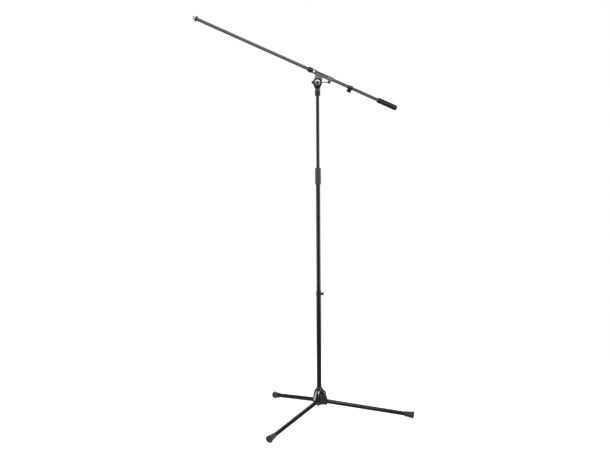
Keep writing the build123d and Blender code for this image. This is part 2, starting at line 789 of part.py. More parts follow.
with BuildPart() as t_screw:
    with BuildSketch(level_plane.offset(-cheek_outer - nut_height)):
        Circle(pivot_screw_radius)
    extrude(amount=cheek_outer + nut_height + screw_face)
    with BuildSketch(level_plane.offset(screw_face)):
        Circle(screw_flange_radius)
    extrude(amount=screw_flange_height)
    flange_edges = t_screw.edges().filter_by(GeomType.CIRCLE).group_by(SortBy.RADIUS)[-1]
    fillet(flange_edges, radius=screw_flange_edge)
    with BuildSketch(level_plane.offset(screw_face + screw_flange_height)):
        Circle(screw_neck_radius)
    extrude(amount=bar_standoff + screw_neck_radius - screw_face - screw_flange_height)
    fillet(t_screw.faces().sort_by(Axis((0, 0, 0), front))[-1].edges(), radius=soft_edge)
    with BuildSketch(bar_plane):
        Circle(bar_radius + running_gap)
    extrude(amount=screw_neck_radius, both=True, mode=Mode.SUBTRACT)
t_screw.part.label = "t_screw"
export_step(t_screw.part, "parts/t_screw.step")

with BuildPart() as t_bar:
    with BuildSketch(bar_plane.offset(-bar_short_end)):
        Circle(bar_radius)
    extrude(amount=bar_short_end + bar_long_end)
t_bar.part.label = "t_bar"
export_step(t_bar.part, "parts/t_bar.step")

with BuildPart() as t_bar_caps:
    for bar_end, outwards in ((bar_long_end, 1), (bar_short_end, -1)):
        cap_start = bar_end - cap_length / 2
        with BuildSketch(bar_plane.offset(outwards * cap_start)):
            Circle(cap_radius)
        extrude(amount=outwards * cap_length)
    fillet(t_bar_caps.edges(), radius=cap_edge)
    with BuildSketch(bar_plane.offset(-bar_short_end)):
        Circle(bar_radius)
    extrude(amount=bar_short_end + bar_long_end, mode=Mode.SUBTRACT)
t_bar_caps.part.label = "t_bar_caps"
export_step(t_bar_caps.part, "parts/t_bar_caps.step")

# ================================ boom guide ================================

guide_length = guide_front + guide_rear
knob_setback = guide_front - guide_front_ring / 2
knob_point = boom_foot - boom_dir * knob_setback
knob_plane = facing_front(knob_point)

with BuildPart() as boom_guide:
    with BuildSketch(pivot_plane.offset(-lug_thickness / 2)):
        Circle(lug_radius)
        with BuildLine():
            Polyline(
                (-lug_radius, web_foot),
                (lug_radius, web_foot),
                (web_rear, boom_offset - guide_bore - guide_wall / 2),
                (-web_front, boom_offset - guide_bore - guide_wall / 2),
                close=True,
            )
        make_face()
    extrude(amount=lug_thickness)
    # half trough under the boom
    with BuildSketch(boom_section(-guide_front)):
        Circle(guide_trough_radius)
        with Locations((0, guide_trough_radius)):
            Rectangle(2 * guide_trough_radius, 2 * guide_trough_radius, mode=Mode.SUBTRACT)
    extrude(amount=guide_length)
    # full rings at both ends
    with BuildSketch(boom_section(-guide_front)):
        Circle(guide_ring_radius)
    extrude(amount=guide_front_ring)
    with BuildSketch(boom_section(guide_rear - guide_rear_ring)):
        Circle(guide_ring_radius)
    extrude(amount=guide_rear_ring)
    with BuildSketch(knob_plane):
        Circle(guide_boss_radius)
    extrude(amount=guide_boss_reach)
    with BuildSketch(boom_section(-guide_front)):
        Circle(guide_bore)
    extrude(amount=guide_length, mode=Mode.SUBTRACT)
    with BuildSketch(knob_plane):
        Circle(guide_screw_radius + running_gap)
    extrude(amount=guide_boss_reach, mode=Mode.SUBTRACT)
    with BuildSketch(pivot_plane):
        Circle(bush_radius)
    extrude(amount=lug_thickness / 2, both=True, mode=Mode.SUBTRACT)
boom_guide.part.label = "boom_guide"
export_step(boom_guide.part, "parts/boom_guide.step")

with BuildPart() as pivot_bush:
    with BuildSketch(pivot_plane):
        Circle(bush_radius)
        Circle(pivot_screw_radius + running_gap, mode=Mode.SUBTRACT)
    extrude(amount=lug_thickness / 2, both=True)
pivot_bush.part.label = "pivot_bush"
export_step(pivot_bush.part, "parts/pivot_bush.step")

with BuildPart() as guide_front_collar:
    with BuildSketch(boom_section(-guide_front - front_collar_length)):
        Circle(front_collar_radius)
    extrude(amount=front_collar_length)
    fillet(guide_front_collar.edges().filter_by(GeomType.CIRCLE), radius=soft_edge)
    with BuildSketch(boom_section(-guide_front - front_collar_length)):
        Circle(guide_bore)
    extrude(amount=front_collar_length, mode=Mode.SUBTRACT)
guide_front_collar.part.label = "guide_front_collar"
export_step(guide_front_collar.part, "parts/guide_front_collar.step")

with BuildPart() as guide_liner:
    with BuildSketch(boom_section(-guide_front - front_collar_length)):
        Circle(liner_radius)
        Circle(boom_radius + running_gap, mode=Mode.SUBTRACT)
    extrude(amount=front_collar_length + guide_length)
guide_liner.part.label = "guide_liner"
export_step(guide_liner.part, "parts/guide_liner.step")

guide_knob_start = guide_boss_reach + free_gap
guide_knob_end = guide_knob_start + guide_knob_length

with BuildPart() as guide_clamp_pad:
    with BuildSketch(knob_plane):
        Circle(guide_screw_radius)
    extrude(amount=guide_bore + pad_length)
    with BuildSketch(boom_section(-guide_front)):
        Circle(guide_bore)
    extrude(amount=guide_front_ring, mode=Mode.SUBTRACT)
guide_clamp_pad.part.label = "guide_clamp_pad"
export_step(guide_clamp_pad.part, "parts/guide_clamp_pad.step")

with BuildPart() as guide_knob_screw:
    with BuildSketch(knob_plane.offset(guide_bore + pad_length + free_gap)):
        Circle(guide_screw_radius)
    extrude(amount=guide_knob_end - guide_bore - pad_length - free_gap)
    with BuildSketch(knob_plane.offset(guide_knob_end)):
        Circle(guide_cap_radius)
    extrude(amount=guide_cap_length)
guide_knob_screw.part.label = "guide_knob_screw"
export_step(guide_knob_screw.part, "parts/guide_knob_screw.step")

with BuildPart() as guide_knob:
    with BuildSketch(knob_plane.offset(guide_knob_start)):
        Circle(guide_knob_radius)
        with PolarLocations(guide_knob_radius + guide_flute_offset, guide_knob_flutes):
            Circle(guide_flute_radius, mode=Mode.SUBTRACT)
        Circle(guide_screw_radius, mode=Mode.SUBTRACT)
    extrude(amount=guide_knob_length)
guide_knob.part.label = "guide_knob"
export_step(guide_knob.part, "parts/guide_knob.step")

# =================================== boom ===================================

tube_front = tip_ring_length + free_gap - boom_front
tube_rear = boom_length - boom_front
weight_start = tube_rear - weight_cover
boom_bore = boom_radius - boom_wall

with BuildPart() as boom_tube:
    with BuildSketch(boom_section(tube_front)):
        Circle(boom_radius)
        Circle(boom_bore, mode=Mode.SUBTRACT)
    extrude(amount=tube_rear - tube_front)
boom_tube.part.label = "boom_tube"
export_step(boom_tube.part, "parts/boom_tube.step")

with BuildPart() as tip_stud:
    with BuildSketch(boom_section(-boom_front - tip_thread_length)):
        Circle(tip_thread_radius)
    extrude(amount=tip_thread_length + tip_ring_length + free_gap)
    chamfer(tip_stud.faces().sort_by(Axis((0, 0, 0), boom_dir))[0].edges(), length=plain_edge)
    with BuildSketch(boom_section(-boom_front - tip_relief_length)):
        Circle(tip_thread_radius)
        Circle(tip_thread_radius - tip_relief_depth, mode=Mode.SUBTRACT)
    extrude(amount=tip_relief_length, mode=Mode.SUBTRACT)
    with BuildSketch(boom_section(tube_front)):
        Circle(boom_bore)
    extrude(amount=tip_plug_depth)
tip_stud.part.label = "tip_stud"
export_step(tip_stud.part, "parts/tip_stud.step")

with BuildPart() as tip_ring:
    with BuildSketch(boom_section(-boom_front)):
        Circle(tip_ring_radius)
    extrude(amount=tip_ring_length)
    fillet(tip_ring.edges().filter_by(GeomType.CIRCLE), radius=tip_ring_edge)
    with BuildSketch(boom_section(-boom_front)):
        Circle(tip_thread_radius + running_gap)
    extrude(amount=tip_ring_length, mode=Mode.SUBTRACT)
tip_ring.part.label = "tip_ring"
export_step(tip_ring.part, "parts/tip_ring.step")

with BuildPart() as cable_clip:
    clip_ring_radius = boom_radius + running_gap + clip_ring_wall
    with BuildSketch(boom_section(clip_start)):
        Circle(clip_ring_radius)
        with Locations((0, -clip_drop)):
            Circle(clip_slot_radius + clip_slot_wall)
        with Locations((0, -clip_drop / 2)):
            Rectangle(clip_ring_radius, clip_drop)
        Circle(boom_radius + running_gap, mode=Mode.SUBTRACT)
        with Locations((0, -clip_drop)):
            Circle(clip_slot_radius, mode=Mode.SUBTRACT)
        with Locations((-clip_slot_radius - clip_slot_wall / 2, -clip_drop)):
            Rectangle(2 * clip_slot_wall + clip_slot_radius, clip_mouth, mode=Mode.SUBTRACT)
    extrude(amount=clip_length)
cable_clip.part.label = "cable_clip"
export_step(cable_clip.part, "parts/cable_clip.step")

weight_screw_plane = Plane(
    origin=boom_foot + boom_dir * (weight_start + weight_screw_inset),
    x_dir=boom_dir,
    z_dir=-boom_up,
)

with BuildPart() as counterweight:
    with BuildSketch(boom_section(weight_start)):
        Circle(weight_radius)
    extrude(amount=weight_length)
    weight_ends = counterweight.faces().sort_by(Axis((0, 0, 0), boom_dir))
    fillet(weight_ends[-1].edges(), radius=weight_nose_fillet)
    chamfer(weight_ends[0].edges(), length=weight_edge)
    with BuildSketch(boom_section(weight_start)):
        Circle(boom_radius)
    extrude(amount=weight_cover, mode=Mode.SUBTRACT)
    with BuildSketch(weight_screw_plane):
        Circle(weight_screw_radius)
    extrude(amount=weight_radius, mode=Mode.SUBTRACT)
counterweight.part.label = "counterweight"
export_step(counterweight.part, "parts/counterweight.step")

with BuildPart() as counterweight_screw:
    with BuildSketch(weight_screw_plane.offset(boom_radius)):
        Circle(weight_screw_radius)
    extrude(amount=weight_radius - boom_radius + weight_screw_proud)
    with BuildSketch(boom_section(weight_start)):
        Circle(boom_radius)
    extrude(amount=weight_length, mode=Mode.SUBTRACT)
counterweight_screw.part.label = "counterweight_screw"
export_step(counterweight_screw.part, "parts/counterweight_screw.step")
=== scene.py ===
import json
from math import atan2, cos, hypot, pi, radians, sin, sqrt, tan, tau

import bmesh
import bpy
import numpy as np
from mathutils import Matrix, Vector


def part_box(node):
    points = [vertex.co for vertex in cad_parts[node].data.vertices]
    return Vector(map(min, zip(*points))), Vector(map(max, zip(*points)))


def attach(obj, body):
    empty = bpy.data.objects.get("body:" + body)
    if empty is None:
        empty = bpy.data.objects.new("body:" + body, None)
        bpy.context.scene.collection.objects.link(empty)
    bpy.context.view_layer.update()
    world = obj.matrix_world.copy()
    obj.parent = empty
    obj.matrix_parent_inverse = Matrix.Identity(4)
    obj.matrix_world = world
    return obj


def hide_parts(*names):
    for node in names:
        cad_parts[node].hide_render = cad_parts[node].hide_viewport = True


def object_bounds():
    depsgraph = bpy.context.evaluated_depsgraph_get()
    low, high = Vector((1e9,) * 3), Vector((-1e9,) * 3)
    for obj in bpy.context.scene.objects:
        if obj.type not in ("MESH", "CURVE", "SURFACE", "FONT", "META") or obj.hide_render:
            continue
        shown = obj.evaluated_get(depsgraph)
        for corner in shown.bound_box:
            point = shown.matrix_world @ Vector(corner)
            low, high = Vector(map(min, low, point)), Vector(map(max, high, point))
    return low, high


# Looks of a boom microphone stand. Metres throughout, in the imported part's own frame.

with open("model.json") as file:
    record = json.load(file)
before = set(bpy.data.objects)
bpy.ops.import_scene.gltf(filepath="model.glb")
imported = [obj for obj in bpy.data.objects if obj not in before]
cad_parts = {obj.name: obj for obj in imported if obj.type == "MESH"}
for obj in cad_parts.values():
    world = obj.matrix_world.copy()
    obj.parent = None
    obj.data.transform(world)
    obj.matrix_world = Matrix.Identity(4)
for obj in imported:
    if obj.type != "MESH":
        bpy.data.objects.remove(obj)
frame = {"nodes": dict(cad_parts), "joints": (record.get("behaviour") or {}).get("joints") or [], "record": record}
cad_low, cad_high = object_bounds()

mm = 0.001
up = Vector((0, 0, 1))
right = Vector((1, 0, 0))

# ---- turned pieces ----
section_angle = radians(11.3)  # where a CAD piece is cut for its outline, between its flutes
weld_gap = 0.002 * mm
snap_gap = 0.25 * mm  # cut points move to the nearest real corner within this
straight_gap = 0.012 * mm  # points this near to a straight line are dropped
corner_turn = radians(24)  # sharper corners than this are rounded
corner_steps = 4
corner_share = 0.45  # a rounding takes up at most this much of the runs beside it
plain_edge = 0.45 * mm
turned_steps = 96
outer_share = 0.8  # only runs beyond this share of the largest radius get more rows
whole_length = (-100, 100)

# ---- castings ----
bell_grain = 0.75 * mm
head_grain = 0.55 * mm
small_grain = 0.38 * mm
tiny_grain = 0.2 * mm
casting_passes = 9
casting_smoothing = 0.5
flat_bend = 0.05  # bends up to this count as flat
bend_range = 0.1  # and this much more counts as a sharp edge

# ---- knobs and grips ----
# The surface is fluted, ribbed or threaded only beyond this share of the piece's radius.
base_knob_core = 0.9
mid_knob_core = 0.85
guide_knob_core = 0.88
grip_core = 0.93
lock_ring_core = 0.9
tip_ring_core = 0.93
thread_core = 0.9
nut_core = 0.7
foot_core = 0.5
base_flutes = (8, 12.5 * mm, 2.4 * mm)  # count, distance of the centres, radius
mid_flutes = (10, 7.8 * mm, 1.3 * mm)
guide_flutes = (12, 10.2 * mm, 1.5 * mm)
flute_blend = 0.35 * mm
grip_ribs = 30
grip_rib_depth = 0.32 * mm
grip_rib_inset = 11 * mm  # ribs stop this far from the clutch's ends
rib_fade = 2.5 * mm
nut_chamfer = 0.3 * mm
nut_chamfer_slope = 1.7
pin_reach = 4 * mm  # a hinge pin's own corners lie within this of its axis
hub_radius = 8 * mm  # the screw's blackened hub ends here, on its bright flange
ring_knurls = 48
ring_knurl_depth = 0.3 * mm
lock_ring_overrun = 2 * mm  # its knurls run on past both ends
tip_ring_inset = 1 * mm
thread_pitch = 0.94 * mm  # 27 turns to the inch
thread_depth = 0.5 * mm
thread_row = 0.12 * mm
thread_start = 0.6 * mm
thread_length = 12 * mm

# ---- feet ----
foot_ribs = 3
foot_rib_pitch = 5 * mm
foot_rib_start = 4 * mm
foot_rib_depth = 0.6 * mm
foot_plain_end = 12 * mm
foot_edge = 1 * mm

# ---- finishes ----
# A noise's scale and detail, and the part of its range that is used.
tone_noise = (55, 5, 0.3, 0.7)
smudge_noise = (24, 4, 0.35, 0.68)
fine_noise = (1400, 2, 0.3, 0.7)
scratch_noise = (2600, 2, 0.7, 0.76)
scratch_patch_noise = (40, 3, 0.5, 0.66)
chip_noise = (320, 5, 0.47, 0.62)
fine_share = 0.25  # how much of the roughness the fine noise sets
scratch_grey = 0.1
scratch_roughness = 0.55
worn_roughness = 0.38
coat_roughness = 0.12
# How a noise is stretched along the piece's own axes.
even = (1, 1, 1)
turned_lines = (0.04, 0.04, 1)
drawn_lines = (1, 1, 0.02)
scratch_lines = (1, 1, 0.025)

# ---- studio ----
camera_place = Vector((0, -6, 1.697))
camera_lens = 70.69
camera_down = radians(6.607)
camera_left = radians(0.639)
camera_roll = radians(-0.392)
camera_sensor = 36
camera_reach = 100
floor_radius = 2.5
floor_steps = 96
floor_white = 0.93
floor_roughness = 0.9
floor_specular = 0.1
floor_clear = 1.0  # the floor is solid this far out, then fades into the background
floor_faded = 2.1
floor_lift = 0.7  # keeps the shadows on the white floor faint
floor_bounce = 0.3  # how much of the floor's brightness the stand's own gloss sees
side_light_place = (3.2, -1.2)  # to each side, and towards the camera
side_light_size = (2.0, 3.4)
side_light_strength = 3.6
front_light_place = Vector((0, -3.6, 3.5))
front_light_size = (2.6, 1.3)
front_light_strength = 9
back_light_place = Vector((0, 3.8, 2.6))
back_light_size = (3.2, 2.0)
back_light_strength = 4
fill_strength = 0.09  # what the white background gives the stand

joints = {joint["name"]: joint for joint in frame["joints"]}
body_of_node = {}
for body_name, members in frame["record"]["behaviour"]["bodies"].items():
    for member in members:
        body_of_node[member] = body_name
slot_of_node = {part["node"]: part["material_slot"] for part in frame["record"]["subparts"]}
sides = ("right", "back_left", "front_left")
# The outermost pieces stand in the world's axes, so that their boxes are no larger than they are.
level_nodes = [f"leg_{side}_foot" for side in sides] + ["tip_stud", "tip_ring"]


# ================================ places ================================


def placed(origin, axis, across=right):
    """Local frame at origin: z runs along the axis, x lies as near to across as it can."""
    z = axis.normalized()
    x = (across - z * across.dot(z)).normalized()
    turn = Matrix((x, z.cross(x), z)).transposed().to_4x4()
    return Matrix.Translation(origin) @ turn


def joint_place(name, across=right):
    """Local frame on a hinge: z runs along the hinge."""
    joint = joints[name]
    return placed(Vector(joint["pos_m"]), Vector(joint["axis"]), across)


def leg_place(side):
    """Local frame at a leg's hinge: z runs down the leg."""
    pin = Vector(joints[f"leg_{side}_fold"]["pos_m"])
    hinge = Vector(joints[f"leg_{side}_fold"]["axis"])
    tube = frame["nodes"][f"leg_{side}_tube"].data.vertices
    middle = sum((vertex.co for vertex in tube), Vector()) / len(tube)
    return placed(pin, middle - pin, hinge)


mast_place = placed(Vector(), up)
boom_place = joint_place("boom_roll", up)
pivot_place = joint_place("t_screw_turn")
bar_low, bar_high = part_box("t_bar")
bar_place = placed((bar_low + bar_high) / 2, right, up)


# ============================== mesh tools ==============================


def welded(node, place):
    """The CAD node's surface in a local frame, with its split corners joined."""
    mesh = bmesh.new()
    mesh.from_mesh(frame["nodes"][node].data)
    mesh.transform(place.inverted())
    bmesh.ops.remove_doubles(mesh, verts=mesh.verts, dist=weld_gap)
    return mesh


def walk(segments):
    """Joins loose segments end to end. Gives lists of points; a closed list ends where it began."""
    links = {}
    for start, end in segments:
        links.setdefault(start, []).append(end)
        links.setdefault(end, []).append(start)
    chains = []
    ends = sorted(point for point, near in links.items() if len(near) == 1)
    for first in ends + sorted(links):
        if not links[first]:
            continue
        chain = [first]
        while links[chain[-1]]:
            here = chain[-1]
            onward = links[here].pop()
            links[onward].remove(here)
            chain.append(onward)
        chains.append(chain)
    return chains


def outlines(node, place):
    """Half sections of a turned CAD node: (height, radius) points, each list from end to end."""
    mesh = welded(node, place)
    corners = np.array([(vertex.co.z, hypot(vertex.co.x, vertex.co.y)) for vertex in mesh.verts])
    outwards = Vector((cos(section_angle), sin(section_angle), 0))
    cut = bmesh.ops.bisect_plane(
        mesh,
        geom=mesh.verts[:] + mesh.edges[:] + mesh.faces[:],
        dist=weld_gap,
        plane_co=(0, 0, 0),
        plane_no=outwards.cross(up),
    )
    segments = []
    for edge in cut["geom_cut"]:
        if not isinstance(edge, bmesh.types.BMEdge):
            continue
        ends = [(vertex.co.z, vertex.co.dot(outwards)) for vertex in edge.verts]
        ends.sort(key=lambda end: end[1])
        (low_z, low_r), (high_z, high_r) = ends
        if high_r <= weld_gap:
            continue
        if low_r < 0:
            low_z += (high_z - low_z) * low_r / (low_r - high_r)
            low_r = 0
        segments.append([(low_z, low_r), (high_z, high_r)])
    mesh.free()

    def snapped(point):
        if point[1] < weld_gap:
            return (round(point[0], 6), 0.0)
        gaps = np.hypot(corners[:, 0] - point[0], corners[:, 1] - point[1])
        nearest = corners[gaps.argmin()] if gaps.min() < snap_gap else point
        return (round(float(nearest[0]), 6), round(float(nearest[1]), 6))

    joined = {tuple(sorted((snapped(a), snapped(b)))) for a, b in segments}
    chains = walk(sorted(pair for pair in joined if pair[0] != pair[1]))
    return [straightened(chain) for chain in chains if len(chain) > 2]


def straightened(chain):
    """Drops the points that lie on the line between their neighbours."""
    closed = chain[0] == chain[-1]
    points = [Vector(point) for point in (chain[:-1] if closed else chain)]
    kept = True
    while kept:
        kept = False
        for i in range(0 if closed else 1, len(points) - (0 if closed else 1)):
            before, here, after = points[i - 1], points[i], points[(i + 1) % len(points)]
            along = after - before
            if along.length < weld_gap:
                continue
            offset = abs(along.cross(here - before)) / along.length
            if offset < straight_gap and (here - before).dot(along) > 0:
                points.pop(i)
                kept = True
                break
    return points + [points[0]] if closed else points


def rounded(points, edge):
    """Rounds the sharp corners of an outline. Gives (height, radius, 1 on a rounding, else 0)."""
    closed = points[0] == points[-1]
    loop = points[:-1] if closed else points
    made = []
    for i, here in enumerate(loop):
        if not closed and i in (0, len(loop) - 1):
            made.append((here.x, here.y, 0))
            continue
        before, after = loop[i - 1], loop[(i + 1) % len(loop)]
        back, on = before - here, after - here
        turn = pi - back.angle(on)
        if turn < corner_turn:
            made.append((here.x, here.y, 0))
            continue
        shorter = min(back.length, on.length)
        reach = min(edge * tan(turn / 2), corner_share * shorter)
        start, end = here + back.normalized() * reach, here + on.normalized() * reach
        for step in range(corner_steps + 1):
            t = step / corner_steps
            point = start * (1 - t) ** 2 + here * 2 * t * (1 - t) + end * t**2
            made.append((point.x, point.y, int(0 < step < corner_steps)))
    return made + [made[0]] if closed else made


def divided(points, row, low, high):
    """Adds rows to the outer runs between two heights, so that they can be shaped."""
    outer = max(point[1] for point in points)
    made = [points[0]]
    for before, after in zip(points, points[1:]):
        start, end = sorted((before[0], after[0]))
        run = end - start
        on_outside = min(before[1], after[1]) > outer_share * outer
        if on_outside and run > row and start < high and end > low:
            rows = int(run / row)
            for k in range(1, rows):
                t = k / rows
                made.append(tuple(a + (b - a) * t for a, b in zip(before, after)))
        made.append(after)
    return made


def lathe(mesh, wear, points, steps, shape=None):
    """Turns an outline round the local z axis. shape(angle, height, radius) may move a point."""
    closed = points[0] == points[-1]
    rows = []
    for height, radius, worn in points[:-1] if closed else points:
        row = []
        if radius < weld_gap:
            row.append(mesh.verts.new((0, 0, height)))
        else:
            for k in range(steps):
                angle = tau * k / steps
                reach = shape(angle, height, radius) if shape else radius
                row.append(mesh.verts.new((reach * cos(angle), reach * sin(angle), height)))
        for vertex in row:
            vertex[wear] = worn
        rows.append(row)
    pairs = list(zip(rows, rows[1:]))
    if closed:
        pairs.append((rows[-1], rows[0]))
    for low, high in pairs:
        for k in range(steps):
            quad = [low[k % len(low)], low[(k + 1) % len(low)]]
            quad += [high[(k + 1) % len(high)], high[k % len(high)]]
            ring = list(dict.fromkeys(quad))
            if len(ring) > 2:
                mesh.faces.new(ring)


def piece(name, data, place, nodes, material=None):
    """Puts a finished mesh in the scene in place of CAD nodes, with their body and slot."""
    made = bpy.data.objects.new(name, data)
    bpy.context.scene.collection.objects.link(made)
    if nodes[0] in level_nodes:
        data.transform(place)
    else:
        made.matrix_world = place
    data.materials.clear()
    data.materials.append(material or finishes[slot_of_node[nodes[0]]])
    data.polygons.foreach_set("use_smooth", [True] * len(data.polygons))
    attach(made, body_of_node[nodes[0]])
    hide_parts(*nodes)
    return made


def turned(
    node,
    place,
    edge=plain_edge,
    steps=turned_steps,
    shape=None,
    row=None,
    zone=whole_length,
    material=None,
):
    """A turned piece: the CAD node's own outline, with rounded edges and any flutes or thread."""
    mesh = bmesh.new()
    wear = mesh.verts.layers.float.new("wear")
    for outline in outlines(node, place):
        points = rounded(outline, edge)
        if row:
            points = divided(points, row, *zone)
        lathe(mesh, wear, points, steps, shape)
    bmesh.ops.recalc_face_normals(mesh, faces=mesh.faces)
    data = bpy.data.meshes.new(f"{node}_surface")
    mesh.to_mesh(data)
    mesh.free()
    made = piece(f"{node}_detail", data, place, [node], material)
    weighted = made.modifiers.new("weighted_normals", "WEIGHTED_NORMAL")
    weighted.keep_sharp = True
    return made


def bends(data, grain):
    """How convex the surface is at each vertex of an even mesh: 0 on a flat, 1 on a sharp edge."""
    count = len(data.vertices)
    place = np.empty(count * 3)
    data.vertices.foreach_get("co", place)
    place = place.reshape(-1, 3)
    facing = np.empty(count * 3)
    data.vertices.foreach_get("normal", facing)
    facing = facing.reshape(-1, 3)
    pairs = np.empty(len(data.edges) * 2, np.int32)
    data.edges.foreach_get("vertices", pairs)
    pairs = pairs.reshape(-1, 2)
    both = np.vstack((pairs, pairs[:, ::-1]))
    near = np.bincount(both[:, 0], minlength=count)[:, None]

    def averaged(values):
        total = np.zeros_like(values)
        np.add.at(total, both[:, 0], values[both[:, 1]])
        return total / np.maximum(near, 1)

    bend = -((averaged(place) - place) * facing).sum(1, keepdims=True) / grain
    bend = averaged(averaged(bend))
    return np.clip((bend[:, 0] - flat_bend) / bend_range, 0, 1)


def cast(node, grain, passes=casting_passes, place=None, material=None):
    """A cast or moulded piece: the CAD node's surface in even quads, smoothed to soft edges."""
    place = place or Matrix.Identity(4)
    mesh = welded(node, place)
    rough = bpy.data.meshes.new(f"{node}_rough")
    mesh.to_mesh(rough)
    mesh.free()
    helper = bpy.data.objects.new(f"{node}_helper", rough)
    bpy.context.scene.collection.objects.link(helper)
    remesh = helper.modifiers.new("even", "REMESH")
    remesh.mode = "VOXEL"
    remesh.voxel_size = grain
    smooth = helper.modifiers.new("soft", "SMOOTH")
    smooth.factor = casting_smoothing
    smooth.iterations = passes
    graph = bpy.context.evaluated_depsgraph_get()
    data = bpy.data.meshes.new_from_object(helper.evaluated_get(graph))
    data.name = f"{node}_surface"
    bpy.data.objects.remove(helper)
    bpy.data.meshes.remove(rough)
    wear = data.attributes.new("wear", "FLOAT", "POINT")
    wear.data.foreach_set("value", bends(data, grain).astype(np.float32))
    return piece(f"{node}_detail", data, place, [node], material)


# =============================== finishes ===============================


def add(tree, kind, inputs, **settings):
    """Adds a shader node; an input is a value or another node's output."""
    made = tree.nodes.new(kind)
    for name, value in settings.items():
        setattr(made, name, value)
    for name, value in inputs.items():
        if isinstance(value, bpy.types.NodeSocket):
            tree.links.new(value, made.inputs[name])
        else:
            made.inputs[name].default_value = value
    return made


def noise(tree, spot, scale, detail=3, stretch=even):
    """Noise in the piece's own coordinates."""
    moved = add(tree, "ShaderNodeMapping", {"Vector": spot, "Scale": stretch})
    grain = {"Vector": moved.outputs[0], "Scale": scale, "Detail": detail}
    return add(tree, "ShaderNodeTexNoise", grain).outputs[0]


def ranged(tree, value, low, high, to_low=0.0, to_high=1.0):
    """Maps low..high to to_low..to_high and stops there."""
    limits = {"From Min": low, "From Max": high, "To Min": to_low, "To Max": to_high}
    return add(tree, "ShaderNodeMapRange", {"Value": value, **limits}).outputs[0]


def spread(tree, spot, kind, stretch=even):
    """One of the named noises, with the part of its range that is used spread over 0..1."""
    scale, detail, low, high = kind
    return ranged(tree, noise(tree, spot, scale, detail, stretch), low, high)


def product(tree, first, second):
    return add(tree, "ShaderNodeMath", {0: first, 1: second}, operation="MULTIPLY").outputs[0]


def blended(tree, factor, first, second):
    inputs = {0: factor, 6: first, 7: second}
    return add(tree, "ShaderNodeMix", inputs, data_type="RGBA").outputs[2]


def mixed(tree, factor, first, second):
    inputs = {0: factor, 2: first, 3: second}
    return add(tree, "ShaderNodeMix", inputs, data_type="FLOAT").outputs[0]


def grey(value, warm=0.0):
    """An almost neutral colour; warm above 0 leans to red."""
    return (value * (1 + warm), value, value * (1 - warm), 1)


def finish(
    name,
    colour,
    shade,
    roughness,
    grains,
    metallic=0.0,
    worn=None,
    worn_metal=1.0,
    scratches=0.0,
    ior=1.5,
    coat=0.0,
    sheen=0.0,
):
    """A finish that varies over the surface: two tones, smudges, grain, scratches, worn edges."""
    material = bpy.data.materials.new(name)
    material.use_nodes = True
    tree = material.node_tree
    shader = tree.nodes["Principled BSDF"]
    shader.inputs["IOR"].default_value = ior
    shader.inputs["Coat Weight"].default_value = coat
    shader.inputs["Coat Roughness"].default_value = coat_roughness
    shader.inputs["Sheen Weight"].default_value = sheen
    spot = tree.nodes.new("ShaderNodeTexCoord").outputs["Object"]

    tint = blended(tree, spread(tree, spot, tone_noise), colour, shade)
    smudge = spread(tree, spot, smudge_noise)
    fine = spread(tree, spot, fine_noise)
    gloss = mixed(tree, smudge, roughness[0], roughness[1])
    gloss = mixed(tree, fine_share, gloss, mixed(tree, fine, roughness[0], roughness[1]))

    if scratches:
        lines = spread(tree, spot, scratch_noise, scratch_lines)
        mark = product(tree, lines, spread(tree, spot, scratch_patch_noise))
        mark = product(tree, mark, scratches)
        tint = blended(tree, mark, tint, grey(scratch_grey))
        gloss = mixed(tree, mark, gloss, scratch_roughness)

    if worn:
        edge = add(tree, "ShaderNodeAttribute", {}, attribute_name="wear").outputs["Fac"]
        bare = product(tree, edge, spread(tree, spot, chip_noise))
        tint = blended(tree, bare, tint, worn)
        gloss = mixed(tree, bare, gloss, worn_roughness)
        metal = mixed(tree, bare, metallic, worn_metal)
        tree.links.new(metal, shader.inputs["Metallic"])
    else:
        shader.inputs["Metallic"].default_value = metallic

    tree.links.new(tint, shader.inputs["Base Color"])
    tree.links.new(gloss, shader.inputs["Roughness"])

    normal = None
    for scale, depth, stretch in grains:
        height = noise(tree, spot, scale, 3, stretch)
        bump = {"Height": height, "Distance": depth, "Strength": 1.0}
        if normal:
            bump["Normal"] = normal
        normal = add(tree, "ShaderNodeBump", bump).outputs[0]
    tree.links.new(normal, shader.inputs["Normal"])
    return material


